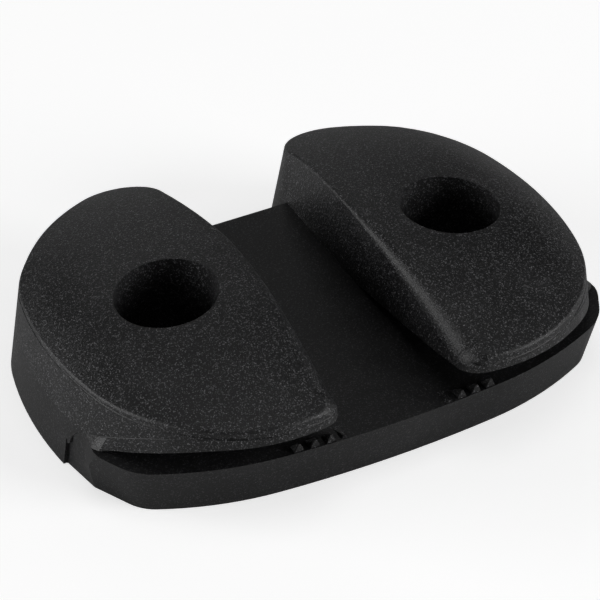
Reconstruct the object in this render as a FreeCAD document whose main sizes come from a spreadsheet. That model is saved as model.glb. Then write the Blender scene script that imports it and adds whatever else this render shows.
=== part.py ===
import FreeCAD, Part
import math
import os

import Sketcher
from FreeCAD import Placement, Rotation, Vector

# Zig zag cleat: one moulding of black nylon, in millimetres.
# X runs from one screw to the other, Y along the rope channel towards the back, Z up from the deck.
# The origin is on the deck, midway between the two screws.
# The cleat is the same on both sides of the channel, so its right half is drawn and mirrored.

DIMENSIONS = {
    # Screws: a bore for each head, over a clearance hole
    "screw_spacing": 44.45,
    "head_bore": 14.6,
    "head_bore_draft": 0.8,
    "screw_hole": 5.2,
    "seat_height": 5.5,
    "boss_wall": 3.0,
    # Plate, measured along its top edge; its front leans in towards the deck
    "plate_height": 7.9,
    "plate_front": 26.0,
    "plate_back": 25.2,
    "plate_lean": 1.75,
    "plate_middle_radius": 190.0,
    "plate_side_radius": 50.0,
    "plate_corner_radius": 8.0,
    "plate_middle_angle": 5.1,
    "plate_side_angle": 25.4,
    "plate_shoulder_angle": 61.5,
    "plate_shoulder_run": 5.9,
    "plate_ear_x": 40.1,
    "plate_ear_y": 4.5,
    "plate_rear_x": 28.0,
    # Lobes, measured on the deck: arcs that run into each other from the horn's tip round to the back corner.
    # An angle is where an arc ends, turned from +X; each wall leans in on the way up
    "lobe_end": 41.1,
    "lobe_end_y": 2.6,
    "lobe_end_radius": 58.0,
    "lobe_end_front_angle": 12.9,
    "lobe_front_radius": 29.0,
    "lobe_front_angle": 40.5,
    "lobe_nose_radius": 23.1,
    "lobe_tip_radius": 5.7,
    "lobe_end_back_angle": 13.0,
    "lobe_heel_radius": 16.8,
    "lobe_heel_angle": 36.0,
    "lobe_back_radius": 40.8,
    "lobe_corner_radius": 9.2,
    "lobe_draft": 8.0,
    "block_height": 24.0,
    # Channel: its walls bow apart in the middle at the deck and together at the block's top
    "channel_low_half": 9.2,
    "channel_low_y": 2.0,
    "channel_low_radius": 200.0,
    "channel_high_half": 8.9,
    "channel_high_y": -2.0,
    "channel_high_radius": 150.0,
    # Crown: the top of a lobe, two arcs across it that sweep along Y round a far axis
    "crown_height": 20.5,
    "crown_peak_x": 15.0,
    "crown_peak_y": -1.6,
    "crown_across_radius": 75.0,
    "crown_fall_x": 27.0,
    "crown_fall_radius": 28.5,
    "crown_along_radius": 88.0,
    "crown_sweep": 60.0,
    # Jaws: the wedge under each horn, open to the front and to the channel
    "jaw_gap": 5.95,
    "jaw_lip_y": 28.8,
    "jaw_flat": 26.0,
    "jaw_arch_radius": 24.0,
    "jaw_end": 38.6,
    "jaw_slope": 10.5,
    "jaw_root_y": 23.0,
    "jaw_root_end_y": 10.5,
    "seam_y": 5.0,
    # Rounded edges: the crown's rim, and its fuller round over the horn's tip
    "rim_round": 0.5,
    "horn_round": 0.5,
    # Teeth along the plate's front edge under each horn: a low strip by the channel, then three that fall backwards
    "tooth_set_back": 0.15,
    "tooth_sink": 0.3,
    "tooth_width": 1.7,
    "tooth_top": 0.3,
    "strip_x": 8.07,
    "strip_height": 0.4,
    "strip_length": 4.5,
    "tooth_count": 3,
    "tooth_first": 10.1,
    "tooth_pitch": 2.33,
    "tooth_height": 1.35,
    "tooth_length": 2.7,
    "tooth_shortening": 0.5,
}

doc = FreeCAD.newDocument("zig_zag_cleat")
sheet = doc.addObject("Spreadsheet::Sheet", "Dimensions")
for row, (alias, number) in enumerate(DIMENSIONS.items(), start=1):
    sheet.set("A%d" % row, alias)
    sheet.set("B%d" % row, str(number))
    sheet.setAlias("B%d" % row, alias)
doc.recompute()


def named(formula):
    """Returns a formula with the sheet's name before each dimension in it, as an expression wants it."""
    words = formula.replace("(", "( ").replace(")", " )").split()
    return " ".join("Dimensions." + word if word in DIMENSIONS else word for word in words)


def value(formula):
    """Returns the number that a formula of the sheet's dimensions gives."""
    return float(sheet.evalExpression(named(formula)))


def bind(item, attribute, formula):
    """Ties a property of an object to a formula of the sheet's dimensions."""
    item.setExpression(attribute, named(formula))


def new_body(name):
    """Adds a body."""
    body = doc.addObject("PartDesign::Body", name)
    body.Label = name
    return body


def new_sketch(body, name, role="XY_Plane"):
    """Adds a sketch on one of the body's own origin planes."""
    sketch = body.newObject("Sketcher::SketchObject", name)
    plane = next(item for item in body.Origin.OriginFeatures if item.Role == role)
    sketch.AttachmentSupport = [(plane, "")]
    sketch.MapMode = "FlatFace"
    return sketch


def drive(sketch, name, kind, where, formula):
    """Adds a named constraint whose value is tied to a formula."""
    index = sketch.addConstraint(Sketcher.Constraint(kind, *where, value(formula)))
    sketch.renameConstraint(index, name)
    bind(sketch, "Constraints." + name, formula)


class Outline:
    """A closed run of lines and arcs in a sketch."""

    def __init__(self, sketch):
        self.sketch = sketch
        self.pieces = []
        self.smooth = []

    def line(self, start, end, smooth=False):
        """Adds a straight line; smooth says that the piece before it runs into it without a corner."""
        number = self.sketch.addGeometry(Part.LineSegment(Vector(*start, 0), Vector(*end, 0)), False)
        self.pieces.append((number, 1, 2))
        self.smooth.append(smooth)
        return number

    def arc(self, centre, start, end, smooth=True):
        """Adds the shorter arc about a centre from start to end."""
        radius = math.dist(centre, start)
        first = math.atan2(start[1] - centre[1], start[0] - centre[0])
        last = math.atan2(end[1] - centre[1], end[0] - centre[0])
        turn = (last - first + math.pi) % (2 * math.pi) - math.pi
        circle = Part.Circle(Vector(*centre, 0), Vector(0, 0, 1), radius)
        low, high = (first, first + turn) if turn > 0 else (first + turn, first)
        number = self.sketch.addGeometry(Part.ArcOfCircle(circle, low, high), False)
        self.pieces.append((number, 1, 2) if turn > 0 else (number, 2, 1))
        self.smooth.append(smooth)
        return number

    def close(self):
        """Joins each piece to the one before it, with a tangent where it is smooth."""
        for index, there in enumerate(self.pieces):
            here = self.pieces[index - 1]
            kind = "Tangent" if self.smooth[index] else "Coincident"
            self.sketch.addConstraint(Sketcher.Constraint(kind, here[0], here[2], there[0], there[1]))


def along(centre, radius, towards):
    """Returns the point of a circle that lies on the line from its centre through another point."""
    reach = math.dist(centre, towards)
    return tuple(c + radius * (t - c) / reach for c, t in zip(centre, towards))


def at_angle(centre, radius, degrees):
    """Returns the point of a circle at an angle from straight down, turning towards +X."""
    turn = math.radians(degrees)
    return (centre[0] + radius * math.sin(turn), centre[1] - radius * math.cos(turn))


def meeting(first, first_radius, second, second_radius, side):
    """Returns where two circles cross: the point furthest along +Y for side 1, and along -Y for side -1."""
    apart = math.dist(first, second)
    run = (apart ** 2 + first_radius ** 2 - second_radius ** 2) / (2 * apart)
    rise = math.sqrt(first_radius ** 2 - run ** 2)
    ux, uy = (second[0] - first[0]) / apart, (second[1] - first[1]) / apart
    points = [(first[0] + run * ux - turn * rise * uy, first[1] + run * uy + turn * rise * ux) for turn in (1, -1)]
    return max(points, key=lambda point: side * point[1])


def inner(centre, radius, small, degrees):
    """Returns the centre of a smaller circle that touches a circle from inside at an angle from +X."""
    turn = math.radians(degrees)
    return (centre[0] + (radius - small) * math.cos(turn), centre[1] + (radius - small) * math.sin(turn))


def lobe_outline(sketch, lean, wall, bow):
    """Draws a lobe's D outline.

    lean is how far its curved wall stands in from the deck's outline, wall names the channel's arc, and
    bow is 1 where the channel's wall stands apart in the middle and -1 where it stands together.
    """
    sizes = {}
    for name in ("tip", "nose", "front", "end", "heel", "back", "corner"):
        sizes[name] = "lobe_%s_radius - %s" % (name, lean)
    radius = {name: value(formula) for name, formula in sizes.items()}
    wall_r = value(wall + "_radius")
    wall_c = (value(wall + "_half") - bow * wall_r, value(wall + "_y"))
    front_a, nose_a = -value("lobe_end_front_angle"), -value("lobe_front_angle")
    heel_a, back_a = value("lobe_end_back_angle"), value("lobe_heel_angle")
    end_c = (value("lobe_end - lobe_end_radius"), value("lobe_end_y"))
    front_c = inner(end_c, radius["end"], radius["front"], front_a)
    nose_c = inner(front_c, radius["front"], radius["nose"], nose_a)
    heel_c = inner(end_c, radius["end"], radius["heel"], heel_a)
    back_c = inner(heel_c, radius["heel"], radius["back"], back_a)
    tip_c = meeting(wall_c, wall_r + bow * radius["tip"], nose_c, radius["nose"] - radius["tip"], -1)
    corner_c = meeting(back_c, radius["back"] - radius["corner"], wall_c, wall_r + bow * radius["corner"], 1)
    joints = [along(wall_c, wall_r, tip_c), along(nose_c, radius["nose"], tip_c),
              inner(nose_c, radius["nose"], 0, nose_a), inner(front_c, radius["front"], 0, front_a),
              inner(heel_c, radius["heel"], 0, heel_a), inner(heel_c, radius["heel"], 0, back_a),
              along(back_c, radius["back"], corner_c), along(wall_c, wall_r, corner_c)]
    centres = [tip_c, nose_c, front_c, end_c, heel_c, back_c, corner_c]

    run = Outline(sketch)
    channel = run.arc(wall_c, joints[-1], joints[0])
    arcs = [run.arc(centre, joints[i], joints[i + 1]) for i, centre in enumerate(centres)]
    run.close()
    drive(sketch, "channel", "Radius", (channel,), wall + "_radius")
    drive(sketch, "channel_x", "DistanceX", (channel, 3),
          wall + ("_half - " if bow > 0 else "_half + ") + wall + "_radius")
    drive(sketch, "channel_y", "DistanceY", (channel, 3), wall + "_y")
    for arc, name in zip(arcs, sizes):
        drive(sketch, name, "Radius", (arc,), sizes[name])
    drive(sketch, "end_x", "DistanceX", (arcs[3], 3), "lobe_end - lobe_end_radius")
    drive(sketch, "end_y", "DistanceY", (arcs[3], 3), "lobe_end_y")


def plate_outline(sketch, lean):
    """Draws the right half of the plate's outline; lean is how far its front stands in from the top edge."""
    middle_r, side_r = value("plate_middle_radius"), value("plate_side_radius")
    corner_r, set_in = value("plate_corner_radius"), value(lean)
    middle_a, side_a = value("plate_middle_angle"), value("plate_side_angle")
    shoulder_a, run_out = value("plate_shoulder_angle"), value("plate_shoulder_run")
    middle_c = (0.0, middle_r - value("plate_front"))
    side_c = at_angle(middle_c, middle_r - side_r, middle_a)
    corner_c = at_angle(side_c, side_r - corner_r, side_a)
    start = (0.0, middle_c[1] - middle_r + set_in)
    first = at_angle(middle_c, middle_r - set_in, middle_a)
    second = at_angle(side_c, side_r - set_in, side_a)
    third = at_angle(corner_c, corner_r - set_in, shoulder_a)
    turn = math.radians(shoulder_a)
    fourth = (third[0] + run_out * math.cos(turn), third[1] + run_out * math.sin(turn))
    ear_x = "plate_ear_x - ( 1 - ( %s ) / plate_lean ) * plate_height * tan( lobe_draft * 1deg )" % lean
    ear = (value(ear_x), -value("plate_ear_y"))
    rear = (value("plate_rear_x"), value("plate_back"))

    run = Outline(sketch)
    middle = run.arc(middle_c, start, first, smooth=False)
    side = run.arc(side_c, first, second)
    corner = run.arc(corner_c, second, third)
    shoulder = run.line(third, fourth, smooth=True)
    flank = run.line(fourth, ear)
    hidden = run.line(ear, rear)
    back = run.line(rear, (0.0, rear[1]))
    split = run.line((0.0, rear[1]), start)
    run.close()
    drive(sketch, "middle", "Radius", (middle,), "plate_middle_radius - " + lean)
    drive(sketch, "side", "Radius", (side,), "plate_side_radius - " + lean)
    drive(sketch, "corner", "Radius", (corner,), "plate_corner_radius - " + lean)
    drive(sketch, "front", "DistanceY", (middle, 3), "plate_middle_radius - plate_front")
    drive(sketch, "side_x", "DistanceX", (side, 3),
          "( plate_middle_radius - plate_side_radius ) * sin( plate_middle_angle * 1deg )")
    drive(sketch, "shoulder", "Distance", (shoulder,), "plate_shoulder_run")
    drive(sketch, "ear_x", "DistanceX", (flank, 2), ear_x)
    drive(sketch, "ear_y", "DistanceY", (flank, 2), "- plate_ear_y")
    drive(sketch, "rear_x", "DistanceX", (hidden, 2), "plate_rear_x")
    drive(sketch, "rear_y", "DistanceY", (hidden, 2), "plate_back")
    sketch.addConstraint(Sketcher.Constraint("Horizontal", back))
    sketch.addConstraint(Sketcher.Constraint("Vertical", split))
    sketch.addConstraint(Sketcher.Constraint("PointOnObject", split, 2, -2))
    sketch.addConstraint(Sketcher.Constraint("PointOnObject", middle, 3, -2))


def loft(body, name, low, high):
    """Adds a loft with straight walls between two sketches."""
    feature = body.newObject("PartDesign::AdditiveLoft", name)
    feature.Profile = low
    feature.Sections = [high]
    feature.Ruled = True
    return feature


# Plate
plate = new_body("plate")
plate_foot = new_sketch(plate, "plate_foot")
plate_outline(plate_foot, "plate_lean")
plate_top = new_sketch(plate, "plate_top")
bind(plate_top, "AttachmentOffset.Base.z", "plate_height")
plate_outline(plate_top, "0")
loft(plate, "plate_block", plate_foot, plate_top)

# Lobe, from the deck up to a flat top above the crown
LEAN = "block_height * tan( lobe_draft * 1deg )"
lobe = new_body("lobe")
lobe_foot = new_sketch(lobe, "lobe_foot")
lobe_outline(lobe_foot, "0", "channel_low", 1)
lobe_top = new_sketch(lobe, "lobe_top")
bind(lobe_top, "AttachmentOffset.Base.z", "block_height")
lobe_outline(lobe_top, LEAN, "channel_high", -1)
lobe_block = loft(lobe, "lobe_block", lobe_foot, lobe_top)

# Crown: a section across the lobe, swung along Y, cuts the block's flat top off
crown = new_sketch(lobe, "crown", "XZ_Plane")
bind(crown, "AttachmentOffset.Base.y", "crown_height - crown_along_radius")
bind(crown, "AttachmentOffset.Base.z", "- crown_peak_y")
across_r, fall_r, along_r = value("crown_across_radius"), value("crown_fall_radius"), value("crown_along_radius")
across_c = (value("crown_peak_x"), along_r - across_r)
fall_x, far_x = value("crown_fall_x"), value("lobe_end + rim_round")
fall_joint = (fall_x, across_c[1] + math.sqrt(across_r ** 2 - (fall_x - across_c[0]) ** 2))
fall_c = along(across_c, across_r - fall_r, fall_joint)
fall_end = (far_x, fall_c[1] + math.sqrt(fall_r ** 2 - (far_x - fall_c[0]) ** 2))
near_end = (0.0, across_c[1] + math.sqrt(across_r ** 2 - across_c[0] ** 2))
sky = along_r + value("block_height")
run = Outline(crown)
across = run.arc(across_c, near_end, fall_joint, smooth=False)
fall = run.arc(fall_c, fall_joint, fall_end)
run.line(fall_end, (far_x, sky))
run.line((far_x, sky), (0.0, sky))
run.line((0.0, sky), near_end)
run.close()
drive(crown, "across", "Radius", (across,), "crown_across_radius")
drive(crown, "fall", "Radius", (fall,), "crown_fall_radius")
drive(crown, "peak_x", "DistanceX", (across, 3), "crown_peak_x")
drive(crown, "peak_z", "DistanceY", (across, 3), "crown_along_radius - crown_across_radius")
drive(crown, "fall_x", "DistanceX", (fall, 2), "crown_fall_x")
drive(crown, "near_x", "DistanceX", (across, 2), "0")
drive(crown, "far_x", "DistanceX", (fall, 1), "lobe_end + rim_round")
topping = lobe.newObject("PartDesign::Groove", "crown_cut")
topping.Profile = crown
topping.ReferenceAxis = (crown, ["H_Axis"])
topping.Midplane = True
bind(topping, "Angle", "crown_sweep")

# Rim: the crown's edge is rounded all the way round, and more over the horn's tip
doc.recompute()


def on_top(edge):
    """Tells whether an edge bounds the crown and isn't the line between its two faces."""
    owners = [face for face in lobe.Shape.Faces if any(edge.isSame(other) for other in face.Edges)]
    return sorted(isinstance(face.Surface, (Part.SurfaceOfRevolution, Part.Toroid)) for face in owners) == [False, True]


rim = doc.addObject("Part::Fillet", "rim")
rim.Base = lobe
rounds = []
for number, edge in enumerate(lobe.Shape.Edges, start=1):
    if on_top(edge):
        ends = [vertex.Point for vertex in edge.Vertexes]
        full = [value("horn_round") if point.y < -value("lobe_end") / 2 and point.x < value("lobe_end") / 3.5
                else value("rim_round") for point in ends]
        rounds.append((number, full[0], full[1]))
rim.Edges = rounds


def pad(body, sketch, name, formula, both=False):
    """Adds a pad of a sketch whose length is tied to a formula; both centres it on the sketch's plane."""
    feature = body.newObject("PartDesign::Pad", name)
    feature.Profile = sketch
    bind(feature, "Length", formula)
    feature.Midplane = both
    return feature


def cut_deep(body, sketch, name):
    """Adds a pocket of a sketch right through the body, both ways from its plane."""
    feature = body.newObject("PartDesign::Pocket", name)
    feature.Profile = sketch
    feature.Type = "ThroughAll"
    feature.Midplane = True
    return feature


# Jaw: the space under the horns, an arch that falls towards the back and stops at the root
jaw = new_body("jaw")
arch = new_sketch(jaw, "arch", "XZ_Plane")
arch.AttachmentOffset = Placement(Vector(0, 0, 0), Rotation(Vector(1, 0, 0), value("jaw_slope")))
bind(arch, "AttachmentOffset.Rotation.Angle", "- jaw_slope * 1deg")
bind(arch, "AttachmentOffset.Base.y", "plate_height")
bind(arch, "AttachmentOffset.Base.z", "jaw_lip_y")
gap, flat, arch_r = value("jaw_gap"), value("jaw_flat"), value("jaw_arch_radius")
jaw_end, depth = value("jaw_end"), value("block_height")
fall = gap - arch_r + math.sqrt(arch_r ** 2 - (jaw_end - flat) ** 2)
run = Outline(arch)
run.line((0.0, gap), (0.0, -depth))
run.line((0.0, -depth), (jaw_end, -depth))
side = run.line((jaw_end, -depth), (jaw_end, fall))
curve = run.arc((flat, gap - arch_r), (jaw_end, fall), (flat, gap), smooth=False)
level = run.line((flat, gap), (0.0, gap), smooth=True)
run.close()
drive(arch, "arch", "Radius", (curve,), "jaw_arch_radius")
drive(arch, "flat", "DistanceX", (level, 1), "jaw_flat")
drive(arch, "gap", "DistanceY", (level, 1), "jaw_gap")
drive(arch, "end", "DistanceX", (side, 1), "jaw_end")
arch.addConstraint(Sketcher.Constraint("Horizontal", level))
pad(jaw, arch, "jaw_arch", "4 * lobe_end", both=True)

root = new_sketch(jaw, "root")
root_y, root_end_y, far = value("jaw_root_y"), -value("jaw_root_end_y"), value("lobe_end + plate_back")
run = Outline(root)
slant = run.line((0.0, root_y), (jaw_end, root_end_y))
run.line((jaw_end, root_end_y), (far, root_end_y))
run.line((far, root_end_y), (far, far))
run.line((far, far), (0.0, far))
run.line((0.0, far), (0.0, root_y))
run.close()
drive(root, "root_y", "DistanceY", (slant, 1), "jaw_root_y")
drive(root, "end_x", "DistanceX", (slant, 2), "jaw_end")
drive(root, "end_y", "DistanceY", (slant, 2), "- jaw_root_end_y")
cut_deep(jaw, root, "root_cut")
boss = new_sketch(jaw, "boss")
boss_r = value("head_bore / 2 + boss_wall")
circle = boss.addGeometry(Part.Circle(Vector(value("screw_spacing / 2"), 0, 0), Vector(0, 0, 1), boss_r), False)
drive(boss, "boss_x", "DistanceX", (circle, 3), "screw_spacing / 2")
drive(boss, "boss", "Radius", (circle,), "head_bore / 2 + boss_wall")
boss.addConstraint(Sketcher.Constraint("PointOnObject", circle, 3, -1))
cut_deep(jaw, boss, "boss_cut")

# Clear space in front of the seam, where the plate's leaning wall takes the place of the lobe's
clear = doc.addObject("Part::Box", "front_clear")
bind(clear, "Length", "2 * lobe_end")
bind(clear, "Width", "lobe_end")
bind(clear, "Height", "plate_height")
bind(clear, "Placement.Base.y", "- seam_y - lobe_end")

open_lobe = doc.addObject("Part::Cut", "open_lobe")
open_lobe.Base = rim
open_lobe.Tool = jaw
horned = doc.addObject("Part::Cut", "horned_lobe")
horned.Base = open_lobe
horned.Tool = clear



def tooth(name, x, height, length):
    """Adds a tooth behind the plate's front edge: upright in front, tapered on its sides, falling to the back."""
    item = doc.addObject("Part::Wedge", name)
    item.Placement = Placement(Vector(0, 0, 0), Rotation(Vector(1, 0, 0), 90))
    bind(item, "Placement.Base.x", x)
    bind(item, "Placement.Base.y", "plate_middle_radius - plate_front - sqrt( plate_middle_radius ^ 2 - ( "
         + x + " ) ^ 2 ) + tooth_set_back + " + length)
    bind(item, "Placement.Base.z", "plate_height - tooth_sink")
    bind(item, "Xmin", "- tooth_width / 2")
    bind(item, "Xmax", "tooth_width / 2")
    item.Ymin = 0
    bind(item, "Ymax", height + " + tooth_sink")
    item.Zmin = 0
    bind(item, "Zmax", length)
    bind(item, "X2min", "- tooth_top / 2")
    bind(item, "X2max", "tooth_top / 2")
    bind(item, "Z2min", length + " - tooth_top")
    bind(item, "Z2max", length)
    return item


# Teeth: a low strip by the channel, then teeth that grow shorter outwards
teeth = [tooth("tooth_strip", "strip_x", "strip_height", "strip_length")]
for index in range(int(value("tooth_count"))):
    teeth.append(tooth("tooth_%d" % (index + 1), "( tooth_first + %d * tooth_pitch )" % index, "tooth_height",
                       "( tooth_length - %d * tooth_shortening )" % index))

# Screw: the head's bore and the hole under it
head = doc.addObject("Part::Cone", "head_bore")
bind(head, "Radius1", "head_bore / 2 - ( crown_height - seat_height ) * tan( head_bore_draft * 1deg )")
bind(head, "Radius2", "head_bore / 2 + ( block_height - crown_height ) * tan( head_bore_draft * 1deg )")
bind(head, "Height", "block_height - seat_height")
bind(head, "Placement.Base.x", "screw_spacing / 2")
bind(head, "Placement.Base.z", "seat_height")
shank = doc.addObject("Part::Cylinder", "screw_hole")
bind(shank, "Radius", "screw_hole / 2")
bind(shank, "Height", "block_height")
bind(shank, "Placement.Base.x", "screw_spacing / 2")
bind(shank, "Placement.Base.z", "- seat_height")
screw = doc.addObject("Part::Fuse", "screw_space")
screw.Base = head
screw.Tool = shank

# Right half, its mirror image and the whole cleat
solid_half = doc.addObject("Part::MultiFuse", "solid_half")
solid_half.Shapes = [plate, horned] + teeth
solid_half.Refine = True
half = doc.addObject("Part::Cut", "right_half")
half.Base = solid_half
half.Tool = screw
other_half = doc.addObject("Part::Mirroring", "left_half")
other_half.Source = half
other_half.Normal = Vector(1, 0, 0)
cleat = doc.addObject("Part::Fuse", "cleat")
cleat.Label = "cleat_body"
cleat.Base = half
cleat.Tool = other_half
cleat.Refine = True
doc.recompute()

for item in doc.Objects:
    if "Invalid" in item.State or "Error" in item.State:
        raise RuntimeError("%s failed: %s" % (item.Label, item.State))
shape = cleat.Shape
if shape.isNull() or not shape.isValid() or len(shape.Solids) != 1:
    raise RuntimeError("the cleat isn't one valid solid")

os.makedirs("parts", exist_ok=True)
shape.exportStep(os.path.join("parts", cleat.Label + ".step"))
box = shape.BoundBox
print("cleat_body %.2f x %.2f x %.2f mm, volume %.0f mm3" % (box.XLength, box.YLength, box.ZLength, shape.Volume))
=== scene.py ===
"""Dresses a zig zag cleat, one moulding of black nylon, and sets it in a white studio.

Lengths are in metres, and in millimetres where a name or a note says so. X runs from one screw to the other,
Y along the rope channel towards the back, Z up from the deck.
"""
import logging
import math
from dataclasses import dataclass, field
from enum import Enum
from typing import Any, Callable, Optional

import bmesh
import bpy
from mathutils import Matrix, Vector
from mathutils.bvhtree import BVHTree
from mathutils.geometry import barycentric_transform


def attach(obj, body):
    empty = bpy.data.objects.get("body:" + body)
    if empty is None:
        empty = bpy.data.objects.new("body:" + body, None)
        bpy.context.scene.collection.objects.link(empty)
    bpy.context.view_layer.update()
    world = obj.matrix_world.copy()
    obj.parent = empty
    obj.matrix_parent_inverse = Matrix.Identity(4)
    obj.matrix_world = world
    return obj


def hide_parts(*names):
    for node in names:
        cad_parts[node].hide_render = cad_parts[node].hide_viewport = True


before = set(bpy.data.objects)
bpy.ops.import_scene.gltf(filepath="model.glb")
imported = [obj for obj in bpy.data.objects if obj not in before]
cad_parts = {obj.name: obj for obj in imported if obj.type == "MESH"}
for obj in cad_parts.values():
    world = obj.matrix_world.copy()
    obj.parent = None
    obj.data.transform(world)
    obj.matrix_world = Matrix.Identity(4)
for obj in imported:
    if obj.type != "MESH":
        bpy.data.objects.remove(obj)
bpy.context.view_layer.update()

MM = 0.001
WHITE = (1.0, 1.0, 1.0, 1.0)
LOG = logging.getLogger("cleat")

Colour = tuple[float, float, float]
Plan = tuple[float, float]
Ring = list[Vector]


class Surface(Enum):
    """How an area of the moulding left the mould."""

    GRAINED = "grained"
    SMOOTH = "smooth"


class Shade:
    """A value in a material's node tree; arithmetic on it adds the Math nodes."""

    def __init__(self, maker: "Maker", socket: Any) -> None:
        """Wraps an output socket of a tree.

        Args:
            maker: what adds nodes to that tree.
            socket: the output socket.
        """
        self.maker = maker
        self.socket = socket

    def _join(self, operation: str, first: Any, second: Any) -> "Shade":
        """Adds a Math node.

        Args:
            operation: the Math node's operation.
            first: a number or a Shade.
            second: a number or a Shade.

        Returns:
            The node's result.
        """
        return self.maker.node("ShaderNodeMath", {"operation": operation}, {0: first, 1: second})

    def __add__(self, other: Any) -> "Shade":
        """Adds."""
        return self._join("ADD", self, other)

    def __radd__(self, other: Any) -> "Shade":
        """Adds, from the right."""
        return self._join("ADD", other, self)

    def __sub__(self, other: Any) -> "Shade":
        """Subtracts."""
        return self._join("SUBTRACT", self, other)

    def __rsub__(self, other: Any) -> "Shade":
        """Subtracts, from the right."""
        return self._join("SUBTRACT", other, self)

    def __mul__(self, other: Any) -> "Shade":
        """Multiplies."""
        return self._join("MULTIPLY", self, other)

    def __rmul__(self, other: Any) -> "Shade":
        """Multiplies, from the right."""
        return self._join("MULTIPLY", other, self)

    def above(self, low: float, high: float) -> "Shade":
        """Rises from 0 at low to 1 at high, eased at both ends.

        Args:
            low: the value that gives 0.
            high: the value that gives 1.

        Returns:
            The eased value.
        """
        settings = {"interpolation_type": "SMOOTHSTEP"}
        ends = {"Value": self, "From Min": low, "From Max": high}
        return self.maker.node("ShaderNodeMapRange", settings, ends)


class Maker:
    """Adds nodes to one material."""

    def __init__(self, name: str) -> None:
        """Starts a material with an empty tree.

        Args:
            name: the material's name.
        """
        self.material = bpy.data.materials.new(name)
        self.material.use_nodes = True
        self.tree = self.material.node_tree
        self.tree.nodes.clear()

    def node(self, kind: str, settings: Optional[dict[str, Any]] = None,
             inputs: Optional[dict[Any, Any]] = None, output: Any = 0) -> Shade:
        """Adds a node, sets it and links its inputs.

        Args:
            kind: the node's type.
            settings: its properties, set before its sockets.
            inputs: values or Shades by socket name or number.
            output: the name or number of the output to return.

        Returns:
            That output.
        """
        made = self.tree.nodes.new(kind)
        for key, setting in (settings or {}).items():
            setattr(made, key, setting)
        for key, wanted in (inputs or {}).items():
            if isinstance(wanted, Shade):
                self.tree.links.new(wanted.socket, made.inputs[key])
            else:
                made.inputs[key].default_value = wanted
        return Shade(self, made.outputs[output])

    def place(self) -> Shade:
        """Returns the object's own coordinates."""
        return self.node("ShaderNodeTexCoord", output="Object")

    def noise(self, place: Shade, size: float, detail: float = 2.0, rough: float = 0.5) -> Shade:
        """Adds a noise.

        Args:
            place: where it is read.
            size: how wide its blots are, in metres.
            detail: how many finer layers it has.
            rough: how strong the finer layers are.

        Returns:
            A value about 0.5.
        """
        inputs = {"Vector": place, "Scale": 1.0 / size, "Detail": detail, "Roughness": rough}
        return self.node("ShaderNodeTexNoise", {"noise_dimensions": "3D"}, inputs)

    def blend(self, factor: Any, first: Any, second: Any) -> Shade:
        """Mixes two colours.

        Args:
            factor: 0 for the first and 1 for the second.
            first: a colour.
            second: a colour.

        Returns:
            The mixed colour.
        """
        made = self.tree.nodes.new("ShaderNodeMix")
        made.data_type = "RGBA"
        sockets = {"Factor": made.inputs[0], "A": made.inputs[6], "B": made.inputs[7]}
        for key, wanted in (("Factor", factor), ("A", first), ("B", second)):
            if isinstance(wanted, Shade):
                self.tree.links.new(wanted.socket, sockets[key])
            else:
                sockets[key].default_value = wanted
        return Shade(self, made.outputs[2])

    def finish(self, surface: Shade) -> bpy.types.Material:
        """Ends the tree in the material's output.

        Args:
            surface: the shader.

        Returns:
            The material.
        """
        output = self.tree.nodes.new("ShaderNodeOutputMaterial")
        self.tree.links.new(surface.socket, output.inputs["Surface"])
        return self.material


@dataclass(frozen=True)
class Nylon:
    """Black nylon with the fine grain of a blasted mould; the grain's sparkle is partly painted into the
    colour.

    A pip is a grain that stands up in the bump and is glossier, and whose colour is also painted light grey: a
    painted glint standing in for the light the grain catches. It shows near the middle of a Voronoi cell,
    where the noise is strong enough.
    """

    surface: Surface
    dark: Colour = (0.0055, 0.0055, 0.006)
    # the pip's colour: a painted glint, light grey where the nylon itself is black
    glint_pale: Colour = (0.24, 0.24, 0.25)
    roughness: float = 0.45
    grain_size: float = 0.34 * MM
    grain_range: tuple[float, float] = (0.44, 0.68)
    grain_height: float = 0.11 * MM
    pip_size: float = 0.20 * MM
    pip_range: tuple[float, float] = (0.15, 0.60)
    pip_share: float = 0.25
    pip_shine: float = 0.10
    smooth_share: float = 0.35
    cloud_size: float = 7.0 * MM
    cloud_tone: float = 0.12
    cloud_dulling: float = 0.10
    refraction: float = 1.5

    def make(self) -> bpy.types.Material:
        """Builds the material.

        Returns:
            The nylon.
        """
        maker = Maker("nylon_" + self.surface.value)
        place = maker.place()
        grain = maker.noise(place, self.grain_size, detail=2.0, rough=0.7)
        cloud = maker.noise(place, self.cloud_size, detail=2.0)
        far = maker.node("ShaderNodeTexVoronoi", {"feature": "F1"},
                         {"Vector": place, "Scale": 1.0 / self.pip_size, "Randomness": 1.0}, "Distance")
        # pip mask: raised grain for the bump and glossier spots, and painted glints in the colour
        grain_and_glint_pips = (1.0 - far.above(*self.pip_range)) * grain.above(*self.grain_range)
        strong = 1.0 if self.surface is Surface.GRAINED else self.smooth_share
        shape = grain * (1.0 - self.pip_share) + grain_and_glint_pips * self.pip_share
        # the pip part of this mix is painted highlight; the cloud part is random tone
        tone = grain_and_glint_pips * strong + self.cloud_tone * (cloud - 0.5)
        colour = maker.blend(tone, (*self.dark, 1.0), (*self.glint_pale, 1.0))
        gloss = self.roughness + self.cloud_dulling * (cloud - 0.5) - self.pip_shine * grain_and_glint_pips
        bump = maker.node("ShaderNodeBump", None,
                          {"Strength": 1.0, "Distance": self.grain_height * strong, "Height": shape})
        skin = maker.node("ShaderNodeBsdfPrincipled", None,
                          {"Base Color": colour, "Roughness": gloss, "IOR": self.refraction, "Normal": bump})
        return maker.finish(skin)


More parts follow.
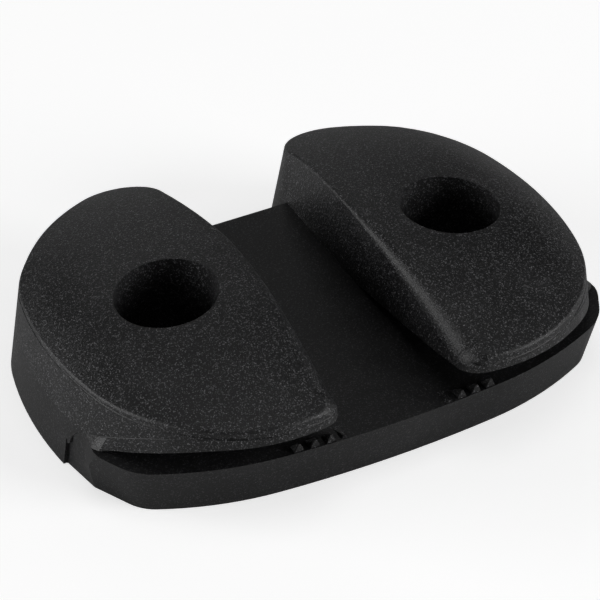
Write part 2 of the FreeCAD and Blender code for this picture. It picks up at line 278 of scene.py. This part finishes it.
@dataclass(frozen=True)
class Arc:
    """An arc in plan, in millimetres: its centre, its radius and the angles where it starts and ends."""

    centre: Plan
    radius: float
    start: float
    end: float

    @classmethod
    def between(cls, centre: Plan, radius: float, first: Plan, last: Plan) -> "Arc":
        """Makes the shorter arc about a centre from one point to another.

        Args:
            centre: the arc's centre.
            radius: its radius.
            first: a point on the line from the centre to where it starts.
            last: a point on the line from the centre to where it ends.

        Returns:
            The arc.
        """
        start = math.atan2(first[1] - centre[1], first[0] - centre[0])
        turn = math.atan2(last[1] - centre[1], last[0] - centre[0]) - start
        return cls(centre, radius, start, start + (turn + math.pi) % math.tau - math.pi)

    def at(self, share: float) -> Plan:
        """Returns the point a share of the way along."""
        angle = self.start + share * (self.end - self.start)
        return (self.centre[0] + self.radius * math.cos(angle), self.centre[1] + self.radius * math.sin(angle))


@dataclass(frozen=True)
class Lobe:
    """The right lobe's form, in millimetres, as the solid has it.

    A place on its wall is a number: its whole part picks an arc of the outline, from the channel's wall (0)
    by the tip (1), nose (2), front (3), end (4), heel (5) and back (6) to the corner (7), and the rest is the
    share of the way along it.
    """

    end: float = 41.1
    end_y: float = 2.6
    radii: tuple[float, ...] = (5.7, 23.1, 29.0, 58.0, 16.8, 40.8, 9.2)
    front_angles: tuple[float, float] = (12.9, 40.5)
    back_angles: tuple[float, float] = (13.0, 36.0)
    draft: float = 8.0
    block_height: float = 24.0
    channel_low: tuple[float, float, float] = (9.2, 2.0, 200.0)
    channel_high: tuple[float, float, float] = (8.9, -2.0, 150.0)
    crown_height: float = 20.5
    crown_peak: Plan = (15.0, -1.6)
    crown_radii: tuple[float, float, float] = (75.0, 28.5, 88.0)
    crown_fall_x: float = 27.0

    def outline(self, lean: float, wall: tuple[float, float, float], bow: int) -> list[Arc]:
        """Works out the arcs of the lobe's outline at the deck or at the block's top.

        Args:
            lean: how far the curved wall stands in from the deck's outline.
            wall: the channel wall's distance, middle and radius.
            bow: 1 where the channel's walls bow apart and -1 where they bow together.

        Returns:
            The eight arcs.
        """
        tip, nose, front, end, heel, back, corner = (radius - lean for radius in self.radii)
        front_a, nose_a = (-math.radians(angle) for angle in self.front_angles)
        heel_a, back_a = (math.radians(angle) for angle in self.back_angles)
        wall_c, wall_r = (wall[0] - bow * wall[2], wall[1]), wall[2]
        end_c = (self.end - self.radii[3], self.end_y)
        front_c = self._shift(end_c, end - front, front_a)
        nose_c = self._shift(front_c, front - nose, nose_a)
        heel_c = self._shift(end_c, end - heel, heel_a)
        back_c = self._shift(heel_c, heel - back, back_a)
        tip_c = self._crossing(wall_c, wall_r + bow * tip, nose_c, nose - tip, -1)
        corner_c = self._crossing(wall_c, wall_r + bow * corner, back_c, back - corner, 1)
        marks = [self._shift(c, r, a) for c, r, a in ((nose_c, nose, nose_a), (front_c, front, front_a),
                                                     (heel_c, heel, heel_a), (heel_c, heel, back_a))]
        tip_end = self._along(nose_c, nose, tip_c)
        corner_start = self._along(back_c, back, corner_c)
        return [
            Arc.between(wall_c, wall_r, corner_c, tip_c),
            Arc.between(tip_c, tip, self._along(wall_c, wall_r, tip_c), tip_end),
            Arc.between(nose_c, nose, tip_end, marks[0]),
            Arc.between(front_c, front, marks[0], marks[1]),
            Arc.between(end_c, end, marks[1], marks[2]),
            Arc.between(heel_c, heel, marks[2], marks[3]),
            Arc.between(back_c, back, marks[3], corner_start),
            Arc.between(corner_c, corner, corner_start, self._along(wall_c, wall_r, corner_c)),
        ]

    @staticmethod
    def _shift(centre: Plan, reach: float, angle: float) -> Plan:
        """Returns the point at a reach and an angle from a centre."""
        return (centre[0] + reach * math.cos(angle), centre[1] + reach * math.sin(angle))

    @staticmethod
    def _along(centre: Plan, reach: float, towards: Plan) -> Plan:
        """Returns the point at a reach from a centre towards another point."""
        scale = reach / math.dist(centre, towards)
        return (centre[0] + scale * (towards[0] - centre[0]), centre[1] + scale * (towards[1] - centre[1]))

    @staticmethod
    def _crossing(first: Plan, reach: float, second: Plan, other: float, side: int) -> Plan:
        """Finds where two circles cross.

        Args:
            first: one centre.
            reach: its radius.
            second: the other centre.
            other: its radius.
            side: 1 for the crossing further along +Y and -1 for the other.

        Returns:
            The crossing.
        """
        apart = math.dist(first, second)
        run = (apart ** 2 + reach ** 2 - other ** 2) / (2 * apart)
        rise = math.sqrt(reach ** 2 - run ** 2)
        ux, uy = (second[0] - first[0]) / apart, (second[1] - first[1]) / apart
        points = [(first[0] + run * ux - turn * rise * uy, first[1] + run * uy + turn * rise * ux)
                  for turn in (1, -1)]
        return max(points, key=lambda point: side * point[1])

    def outlines(self) -> tuple[list[Arc], list[Arc]]:
        """Returns the outlines at the deck and at the block's top."""
        lean = self.block_height * math.tan(math.radians(self.draft))
        return self.outline(0.0, self.channel_low, 1), self.outline(lean, self.channel_high, -1)

    def crown(self, x: float, y: float) -> float:
        """Returns the crown's height over a place in plan."""
        across, fall, along = self.crown_radii
        centre = (self.crown_peak[0], self.crown_height - across)
        if x > self.crown_fall_x:
            joint = (self.crown_fall_x,
                     centre[1] + math.sqrt(across ** 2 - (self.crown_fall_x - centre[0]) ** 2))
            centre, across = self._along(centre, across - fall, joint), fall
        section = centre[1] + math.sqrt(across ** 2 - (x - centre[0]) ** 2)
        axis = self.crown_height - along
        return axis + math.sqrt((section - axis) ** 2 - (y - self.crown_peak[1]) ** 2)


class Wall:
    """Points and directions on the right lobe's wall and rim, in millimetres."""

    step = 1e-3
    rim_rounds = 12
    halvings = 40
    middle_height = 10.0

    def __init__(self, lobe: Lobe) -> None:
        """Works the lobe's outlines out once.

        Args:
            lobe: the lobe's form.
        """
        self.lobe = lobe
        self.low, self.high = lobe.outlines()

    def point(self, place: float, height: float) -> Vector:
        """Returns the wall's point at a place and a height."""
        index = min(int(place), len(self.low) - 1)
        low, high = self.low[index].at(place - index), self.high[index].at(place - index)
        share = height / self.lobe.block_height
        return Vector((low[0] + share * (high[0] - low[0]), low[1] + share * (high[1] - low[1]), height))

    def rim(self, place: float) -> Vector:
        """Returns where the wall meets the crown, before the edge is rounded."""
        height = self.lobe.crown_height
        for _ in range(self.rim_rounds):
            point = self.point(place, height)
            height = self.lobe.crown(point.x, point.y)
        return self.point(place, height)

    def outward(self, place: float, height: float) -> Vector:
        """Returns the wall's outward direction at a place and a height."""
        along = self.point(place + self.step, height) - self.point(place, height)
        up = self.point(place, height + self.step) - self.point(place, height)
        return along.cross(up).normalized()

    def upward(self, point: Vector) -> Vector:
        """Returns the crown's outward direction over a point."""
        here = self.lobe.crown(point.x, point.y)
        slope_x = (self.lobe.crown(point.x + self.step, point.y) - here) / self.step
        slope_y = (self.lobe.crown(point.x, point.y + self.step) - here) / self.step
        return Vector((-slope_x, -slope_y, 1.0)).normalized()

    def place_at(self, y: float) -> float:
        """Returns the place on the wall's front or end where it is at a Y, half way up."""
        low, high = 2.0, 5.0
        for _ in range(self.halvings):
            middle = (low + high) / 2
            if self.point(middle, self.middle_height).y < y:
                low = middle
            else:
                high = middle
        return low


def eased(value: float, low: float, high: float) -> float:
    """Rises from 0 at low to 1 at high, eased at both ends."""
    share = min(max((value - low) / (high - low), 0.0), 1.0)
    return share * share * (3 - 2 * share)


def between(value: float, marks: tuple[Plan, ...]) -> float:
    """Reads a run of straight lines through marks, each a place and its value."""
    if value <= marks[0][0]:
        return marks[0][1]
    for (x0, y0), (x1, y1) in zip(marks, marks[1:]):
        if value <= x1:
            return y0 + (value - x0) / (x1 - x0) * (y1 - y0)
    return marks[-1][1]


def swept(name: str, rings: list[Ring], side: int) -> bpy.types.Object:
    """Makes a closed solid through rings of points, in millimetres.

    Args:
        name: its name.
        rings: sections with as many points each, in order.
        side: 1 for the right half and -1 for its mirror image.

    Returns:
        The solid, not yet in the scene.
    """
    mesh = bpy.data.meshes.new(name)
    shell = bmesh.new()
    made = [[shell.verts.new((side * p.x * MM, p.y * MM, p.z * MM)) for p in ring] for ring in rings]
    count = len(rings[0])
    for ring, after in zip(made, made[1:]):
        for i in range(count):
            j = (i + 1) % count
            shell.faces.new((ring[i], ring[j], after[j], after[i]))
    shell.faces.new(made[0])
    shell.faces.new(made[-1])
    bmesh.ops.recalc_face_normals(shell, faces=shell.faces)
    bmesh.ops.triangulate(shell, faces=shell.faces)
    shell.to_mesh(mesh)
    shell.free()
    return bpy.data.objects.new(name, mesh)


@dataclass(frozen=True)
class HornRound:
    """The full round over a horn's channel edge, in millimetres, growing towards the tip."""

    start: float = 0.36
    stop: float = 2.35
    least: float = 0.35
    most: float = 4.3
    steps: int = 64
    arc_steps: int = 8
    growth: float = 1.2
    flat: float = 0.22
    spare: float = 0.8

    def radius(self, place: float) -> float:
        """Returns the round's radius at a place on the wall."""
        if place < 1.0:
            share = ((place - self.start) / (1.0 - self.start)) ** self.growth
            return self.least + (self.most - self.least) * share
        return self.least + (self.most - self.least) * (1.0 - eased(place, 1.0, self.stop))

    def ring(self, wall: Wall, place: float) -> Ring:
        """Works out the section of what the round takes away.

        Args:
            wall: the lobe's wall.
            place: where on it.

        Returns:
            The section's points.
        """
        edge = wall.rim(place)
        out, up = wall.outward(place, edge.z), wall.upward(edge)
        radius = self.radius(place)
        centre = edge - (out + up) * (radius / (1 + out.dot(up)))
        top, foot = centre + up * radius, centre + out * radius
        ring = []
        for index in range(self.arc_steps + 1):
            share = index / self.arc_steps
            round_point = centre + up.slerp(out, share) * radius
            ring.append(round_point.lerp(top.lerp(foot, share), self.flat * (1 - 0.5 * share)))
        return ring + [foot + out * self.spare, edge + (out + up) * self.spare, top + up * self.spare]

    def solids(self, wall: Wall) -> list[bpy.types.Object]:
        """Makes what is cut away, for both lobes.

        Args:
            wall: the right lobe's wall.

        Returns:
            The two solids.
        """
        places = [self.start + (self.stop - self.start) * i / self.steps for i in range(self.steps + 1)]
        rings = [self.ring(wall, place) for place in places]
        return [swept("horn_round", rings, side) for side in (1, -1)]


@dataclass(frozen=True)
class Groove:
    """A fine groove that follows a line on the wall, in millimetres."""

    name: str
    line: Callable[[Wall, float], tuple[float, float]]
    start: float
    stop: float
    width: float = 0.2
    steps: int = 120
    sides: int = 6
    look_ahead: float = 1e-3

    def ring(self, wall: Wall, share: float) -> Ring:
        """Returns the groove's section a share of the way along its line."""
        place, height = self.line(wall, self.start + share * (self.stop - self.start))
        after, higher = self.line(wall, self.start + (share + self.look_ahead) * (self.stop - self.start))
        point = wall.point(place, height)
        ahead = (wall.point(after, higher) - point).normalized()
        out = wall.outward(place, height)
        across = ahead.cross(out).normalized()
        reach = self.width / 2
        turns = [math.tau * i / self.sides for i in range(self.sides)]
        return [point + (out * math.cos(turn) + across * math.sin(turn)) * reach for turn in turns]

    def solids(self, wall: Wall) -> list[bpy.types.Object]:
        """Makes what is cut away, for both lobes.

        Args:
            wall: the right lobe's wall.

        Returns:
            The two solids.
        """
        rings = [self.ring(wall, i / self.steps) for i in range(self.steps + 1)]
        return [swept(self.name, rings, side) for side in (1, -1)]


class Skin:
    """A surface that tells its smooth normal at a point on it."""

    def __init__(self, mesh: bpy.types.Mesh, outward: int = 1) -> None:
        """Reads a mesh.

        Args:
            mesh: the mesh, with the normals to be told.
            outward: 1 for a surface that is kept as it is and -1 for one that is cut into something.
        """
        mesh.calc_loop_triangles()
        self.outward = outward
        self.points = [vertex.co.copy() for vertex in mesh.vertices]
        self.normals = [corner.vector * outward for corner in mesh.corner_normals]
        self.triangles = [tuple(triangle.vertices) for triangle in mesh.loop_triangles]
        self.corners = [tuple(triangle.loops) for triangle in mesh.loop_triangles]
        self.tree = BVHTree.FromPolygons(self.points, self.triangles)

    def match(self, point: Vector, facing: Vector, reach: float = 0.003 * MM) -> tuple[float, int]:
        """Finds the triangle at a point that faces a direction best.

        Args:
            point: the point.
            facing: the direction.
            reach: how far off the triangle may be, in metres.

        Returns:
            How well it faces, up to 1, and its number; -1 and -1 where there is none.
        """
        found = self.tree.find_nearest_range(point, reach)
        fits = ((normal.dot(facing) * self.outward, index) for _, normal, index, _ in found)
        return max(fits, default=(-1.0, -1))

    def normal(self, index: int, point: Vector) -> Vector:
        """Returns the smooth normal at a point on a triangle."""
        ends = [self.points[i] for i in self.triangles[index]]
        normals = (self.normals[i] for i in self.corners[index])
        return barycentric_transform(point, *ends, *normals).normalized()


# how far under the rim the parting line runs, by place on the wall
RIM_DROP = ((1.4, 1.35), (2.0, 1.25), (2.8, 1.05), (3.6, 0.85), (4.15, 0.6), (4.6, 0.55), (8.0, 0.55))
# how high the slide's line runs, by Y
SLIDE_LINE = ((-27.5, 15.5), (-25.4, 15.0), (-23.4, 14.5), (-19.2, 13.0), (-15.2, 11.1),
              (-10.9, 8.85), (-8.8, 7.9),
              (-7.2, 6.9), (-6.3, 5.9), (-5.8, 4.9), (-5.6, 3.9))


def rim_line(wall: Wall, place: float) -> tuple[float, float]:
    """Returns the parting line under the rim: a place on the wall and its height."""
    return place, wall.rim(place).z - between(place, RIM_DROP)


def slide_line(wall: Wall, y: float) -> tuple[float, float]:
    """Returns the line where the mould's slide met the wall: a place on the wall and its height."""
    return wall.place_at(y), between(y, SLIDE_LINE)


@dataclass(frozen=True)
class Cheek:
    """The lobe's wall between the slide's line and the plate's top, at a jaw's outer end, in millimetres."""

    first: float = -9.6
    last: float = -4.9
    top: float = 8.4
    inset: float = 1.1
    steps: int = 12
    levels: int = 4

    def solids(self, wall: Wall) -> list[bpy.types.Object]:
        """Makes the fill for both lobes.

        Args:
            wall: the right lobe's wall.

        Returns:
            The two solids.
        """
        rings = []
        for index in range(self.steps + 1):
            place, height = slide_line(wall, self.first + (self.last - self.first) * index / self.steps)
            inwards = wall.outward(place, height) * -self.inset
            heights = [height + (self.top - height) * level / self.levels for level in range(self.levels + 1)]
            face = [wall.point(place, level) for level in heights]
            rings.append(face + [face[-1] + inwards, face[0] + inwards])
        return [swept("cheek", rings, side) for side in (1, -1)]


# the flank's outline in plan at one level, as Y and X, and how it leans in above that
FLANK_PLAN = ((-17.3, 37.5), (-16.0, 38.1), (-15.0, 38.65), (-14.0, 39.1), (-13.0, 39.3), (-12.0, 39.25),
              (-11.0, 39.05), (-10.0, 38.84), (-9.4, 38.74), (-8.0, 38.98), (-6.0, 39.31), (-5.0, 39.5))
FLANK_LEVEL = 8.1
FLANK_LEAN = 0.14


def flank_x(y: float, height: float) -> float:
    """Returns how far out the plate's flank is, at a Y and a height."""
    return between(y, FLANK_PLAN) + FLANK_LEAN * (FLANK_LEVEL - height)


@dataclass(frozen=True)
class Flank:
    """What the plate's flank leaves clear, so that it runs on from the lobe's wall, in millimetres."""

    bottom: float = 2.0
    reach: float = 5.0

    def solids(self, wall: Wall) -> list[bpy.types.Object]:
        """Makes what is cut away, for both lobes.

        Args:
            wall: the right lobe's wall, which the flank carries on; not used.

        Returns:
            The two solids.
        """
        rings = []
        for y, _ in FLANK_PLAN:
            low, high = flank_x(y, self.bottom), flank_x(y, FLANK_LEVEL)
            rings.append([Vector((low, y, self.bottom)), Vector((low + self.reach, y, self.bottom)),
                          Vector((low + self.reach, y, FLANK_LEVEL)), Vector((high, y, FLANK_LEVEL))])
        return [swept("flank", rings, side) for side in (1, -1)]


# the brow's lower edge, as Y and height
BROW_MARKS = ((-9.25, 7.97), (-10.1, 7.97), (-11.1, 7.97), (-12.1, 7.97), (-13.1, 8.05), (-14.1, 8.42),
              (-14.7, 8.7))


@dataclass(frozen=True)
class Brow:
    """The face from a mouth's upper edge up to the slide's line on the wall, in millimetres.

    Its lower edge leaves the flank at one Y and has reached the wall at another.
    """

    inset: float = 1.1
    drop: float = 0.5
    flank_to: float = -12.0
    wall_from: float = -14.6

    def solids(self, wall: Wall) -> list[bpy.types.Object]:
        """Makes the fill for both lobes.

        Args:
            wall: the right lobe's wall.

        Returns:
            The two solids.
        """
        rings = []
        for y, high in BROW_MARKS:
            place, height = slide_line(wall, y)
            top, out = wall.point(place, height), wall.outward(place, height)
            share = eased(-y, -self.flank_to, -self.wall_from)
            edge = Vector((flank_x(y, high), y, high)).lerp(wall.point(place, high), share)
            inner = wall.point(place, high - self.drop) - out * self.inset
            rings.append([edge, top, top - out * self.inset, inner])
        return [swept("brow", rings, side) for side in (1, -1)]


@dataclass(frozen=True)
class Seam:
    """The upright gap at the end of the mould's slide, in millimetres."""

    y: float = -5.05
    width: float = 0.3
    depth: float = 0.45
    top: float = 4.4
    bottom: float = -0.5
    reach: float = 2.0

    def solids(self, wall: Wall) -> list[bpy.types.Object]:
        """Makes what is cut away, for both lobes.

        Args:
            wall: the right lobe's wall.

        Returns:
            The two solids.
        """
        rings = []
        for height in (self.bottom, self.top):
            x = wall.point(wall.place_at(self.y), height).x
            corners = ((-self.depth, -1), (self.reach, -1), (self.reach, 1), (-self.depth, 1))
            rings.append([Vector((x + dx, self.y + dy * self.width / 2, height)) for dx, dy in corners])
        return [swept("seam", rings, side) for side in (1, -1)]


@dataclass
class Cleat:
    """The cleat itself: the solid's own form, with the edges and mould lines that it leaves out.

    What is cleared goes before what is added, and what is cut comes last.
    """

    node: str = "cleat_body"
    name: str = "cleat"
    joined_within: float = 0.001 * MM
    plate_top: float = 7.91 * MM
    smooth_below: float = 30.0
    same_face: float = 0.9
    wall: Wall = field(default_factory=lambda: Wall(Lobe()))
    cleared: tuple[Any, ...] = (Flank(),)
    added: tuple[Any, ...] = (Cheek(), Brow())
    cut: tuple[Any, ...] = (
        HornRound(),
        Groove("rim_groove", rim_line, 1.4, 7.9, width=0.3),
        Groove("slide_groove", slide_line, -27.2, -5.7, width=0.2),
        Seam(),
    )

    def merged(self) -> bpy.types.Object:
        """Copies the solid with its corners joined.

        Returns:
            The copy, in the scene.
        """
        shell = bmesh.new()
        shell.from_mesh(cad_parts[self.node].data)
        bmesh.ops.remove_doubles(shell, verts=shell.verts, dist=self.joined_within)
        mesh = bpy.data.meshes.new(self.name)
        shell.to_mesh(mesh)
        shell.free()
        piece = bpy.data.objects.new(self.name, mesh)
        bpy.context.scene.collection.objects.link(piece)
        return piece

    def carve(self, piece: bpy.types.Object) -> list[Skin]:
        """Adds the cheeks to a copy of the solid and cuts its fine forms.

        Args:
            piece: the copy.

        Returns:
            The surfaces that what is left is made of.
        """
        tools, skins = [], [Skin(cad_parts[self.node].data)]
        for operation, forms, outward in (("DIFFERENCE", self.cleared, -1), ("UNION", self.added, 1),
                                          ("DIFFERENCE", self.cut, -1)):
            for form in forms:
                for tool in form.solids(self.wall):
                    bpy.context.scene.collection.objects.link(tool)
                    tool.data.shade_smooth()
                    tool.data.set_sharp_from_angle(angle=math.radians(self.smooth_below))
                    skins.append(Skin(tool.data, outward))
                    step = piece.modifiers.new(tool.name, "BOOLEAN")
                    step.operation = operation
                    step.solver = "EXACT"
                    step.object = tool
                    tools.append(tool)
        bpy.context.view_layer.update()
        graph = bpy.context.evaluated_depsgraph_get()
        carved = bpy.data.meshes.new_from_object(piece.evaluated_get(graph))
        piece.modifiers.clear()
        piece.data = carved
        for tool in tools:
            bpy.data.objects.remove(tool)
        return skins

    def soften(self, piece: bpy.types.Object, skins: list[Skin]) -> None:
        """Gives each corner of each face the normal of the smooth surface that the face was part of.

        Args:
            piece: the carved copy.
            skins: those surfaces.
        """
        mesh = piece.data
        mesh.shade_smooth()
        normals: list[Vector] = [Vector()] * len(mesh.loops)
        for face in mesh.polygons:
            fit, index, skin = max(((*skin.match(face.center, face.normal), skin) for skin in skins),
                                   key=lambda found: found[0])
            for loop in face.loop_indices:
                corner = mesh.vertices[mesh.loops[loop].vertex_index].co
                near = corner.lerp(face.center, 0.02)
                fit, index = skin.match(near, face.normal)
                normals[loop] = skin.normal(index, near) if fit > self.same_face else face.normal
        mesh.normals_split_custom_set(normals)

    def dress(self, piece: bpy.types.Object) -> None:
        """Gives the lobes the grained nylon and the plate the smoother one.

        Args:
            piece: the carved copy.
        """
        mesh = piece.data
        mesh.materials.clear()
        for surface in (Surface.GRAINED, Surface.SMOOTH):
            mesh.materials.append(Nylon(surface).make())
        for face in mesh.polygons:
            top = max(mesh.vertices[index].co.z for index in face.vertices)
            face.material_index = int(top < self.plate_top)

    def build(self) -> list[str]:
        """Makes the cleat.

        Returns:
            The names of its pieces.
        """
        piece = self.merged()
        skins = self.carve(piece)
        self.dress(piece)
        self.soften(piece, skins)
        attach(piece, "root")
        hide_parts(self.node)
        LOG.info("%s has %d faces", piece.name, len(piece.data.polygons))
        return [piece.name]


@dataclass(frozen=True)
class Viewpoint:
    """Where the photograph was taken from."""

    azimuth: float = -27.516
    elevation: float = 38.593
    roll: float = 0.3
    target: Vector = Vector((4.772 * MM, 12.352 * MM, 0.0))
    distance: float = 403.87 * MM
    focal_pixels: float = 2738.846
    frame_pixels: float = 600.0
    sensor: float = 36.0

    def make(self) -> bpy.types.Object:
        """Creates the camera and makes it the scene's own.

        Returns:
            The camera.
        """
        around, up_angle, tilt = (math.radians(v) for v in (self.azimuth, self.elevation, self.roll))
        back = Vector((math.sin(around) * math.cos(up_angle), -math.cos(around) * math.cos(up_angle),
                       math.sin(up_angle)))
        level = Vector((math.cos(around), math.sin(around), 0.0))
        above = back.cross(level)
        right = level * math.cos(tilt) + above * math.sin(tilt)
        up = above * math.cos(tilt) - level * math.sin(tilt)
        data = bpy.data.cameras.new("camera")
        data.sensor_width = self.sensor
        data.sensor_fit = "HORIZONTAL"
        data.lens = self.focal_pixels / self.frame_pixels * self.sensor
        data.clip_start = 0.01
        data.clip_end = 10.0
        camera = bpy.data.objects.new("camera", data)
        turn = Matrix((right, up, back)).transposed().to_4x4()
        camera.matrix_world = Matrix.Translation(self.target + back * self.distance) @ turn
        bpy.context.scene.collection.objects.link(camera)
        bpy.context.scene.camera = camera
        return camera


@dataclass(frozen=True)
class Lamp:
    """One soft lamp."""

    name: str
    place: Vector
    size: tuple[float, float]
    power: float

    def make(self, target: Vector) -> None:
        """Adds the lamp, facing the target.

        Args:
            target: what it lights.
        """
        data = bpy.data.lights.new(self.name, "AREA")
        data.shape = "RECTANGLE"
        data.size, data.size_y = self.size
        data.energy = self.power
        lamp = bpy.data.objects.new(self.name, data)
        lamp.location = self.place
        lamp.rotation_euler = (target - self.place).to_track_quat("-Z", "Y").to_euler()
        bpy.context.scene.collection.objects.link(lamp)


@dataclass
class Studio:
    """The white floor, the soft lamps and the plain white surroundings."""

    floor_half: float = 2.0
    floor_tone: float = 0.82
    floor_lift: float = 0.62
    world_level: float = 0.03
    target: Vector = field(default_factory=lambda: Vector((0.0, 0.0, 0.01)))
    lamps: tuple[Lamp, ...] = (
        Lamp("lamp_top", Vector((0.0, 0.0, 0.9)), (0.5, 0.5), 0.92),
        Lamp("lamp_left", Vector((-0.9, 0.0, 0.25)), (0.5, 0.5), 1.7),
        Lamp("lamp_left_back", Vector((-0.85, 0.45, 0.2)), (0.5, 0.5), 3.6),
        Lamp("lamp_right", Vector((0.65, -0.65, 0.3)), (0.5, 0.5), 4.6),
        Lamp("lamp_right_end", Vector((0.9, 0.0, 0.3)), (0.5, 0.5), 0.7),
        Lamp("lamp_back", Vector((0.2, 0.9, 0.5)), (0.5, 0.5), 0.42),
    )

    def floor(self) -> None:
        """Lays a floor that the camera sees white, with the object's soft shadow on it."""
        half = self.floor_half
        mesh = bpy.data.meshes.new("floor")
        corners = [(-half, -half, 0), (half, -half, 0), (half, half, 0), (-half, half, 0)]
        mesh.from_pydata(corners, [], [(0, 1, 2, 3)])
        piece = bpy.data.objects.new("floor", mesh)
        bpy.context.scene.collection.objects.link(piece)
        maker = Maker("floor_white")
        paper = maker.node("ShaderNodeBsdfDiffuse", None, {"Color": (*[self.floor_tone] * 3, 1.0)})
        white = maker.node("ShaderNodeEmission", None, {"Color": WHITE, "Strength": self.floor_lift})
        seen = maker.node("ShaderNodeLightPath", output="Is Camera Ray")
        both = maker.node("ShaderNodeAddShader", None, {0: paper, 1: white})
        mixed = maker.node("ShaderNodeMixShader", None, {0: seen, 1: paper, 2: both})
        mesh.materials.append(maker.finish(mixed))

    def surroundings(self) -> None:
        """Makes the world a soft even light that the camera sees as white."""
        world = bpy.data.worlds.new("surroundings")
        bpy.context.scene.world = world
        world.use_nodes = True
        nodes, links = world.node_tree.nodes, world.node_tree.links
        nodes.clear()
        path = nodes.new("ShaderNodeLightPath")
        soft, white = nodes.new("ShaderNodeBackground"), nodes.new("ShaderNodeBackground")
        soft.inputs["Strength"].default_value = self.world_level
        white.inputs["Strength"].default_value = 1.0
        for shade in (soft, white):
            shade.inputs["Color"].default_value = WHITE
        mixed, out = nodes.new("ShaderNodeMixShader"), nodes.new("ShaderNodeOutputWorld")
        links.new(path.outputs["Is Camera Ray"], mixed.inputs[0])
        links.new(soft.outputs[0], mixed.inputs[1])
        links.new(white.outputs[0], mixed.inputs[2])
        links.new(mixed.outputs[0], out.inputs["Surface"])

    def build(self) -> None:
        """Sets up everything round the cleat."""
        self.floor()
        self.surroundings()
        for lamp in self.lamps:
            lamp.make(self.target)


def main() -> None:
    """Builds the camera, the cleat and the studio, and logs each piece."""
    logging.basicConfig(level=logging.INFO, format="%(name)s: %(message)s")
    bpy.context.scene.view_settings.view_transform = "Standard"
    Viewpoint().make()
    for name in Cleat().build():
        LOG.info("dressed %s", name)
    Studio().build()


if __name__ == "__main__":
    main()
